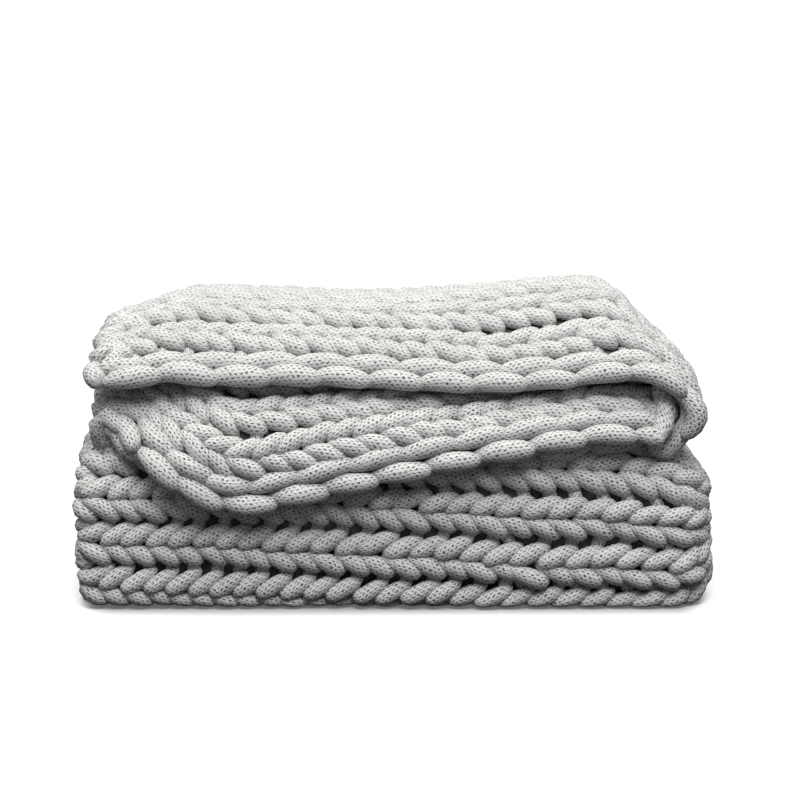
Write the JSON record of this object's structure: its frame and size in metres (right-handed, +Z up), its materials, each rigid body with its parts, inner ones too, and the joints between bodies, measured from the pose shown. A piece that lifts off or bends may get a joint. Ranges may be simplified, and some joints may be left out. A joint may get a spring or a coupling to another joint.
{
  "type": "folded chunky knit blanket",
  "caption": "Thick rib-knit throw folded into a soft stack, for laying over a bed or sofa or resting on a shelf.",
  "frame": {"origin": "the middle of the stack's box, on the floor it rests on", "axes": "+Z up, -Y towards the open front edges, +X to the right along the ribs, seen from the front"},
  "size_m": [0.5098, 0.52, 0.2521],
  "materials": {
    "yarn": "matt tube-knit cotton yarn, pale warm grey, knitted by hand in one-by-one rib with a slipped chain edge"
  },
  "bodies": {
    "root": {"blanket": "yarn"}
  },
  "joints": []
}
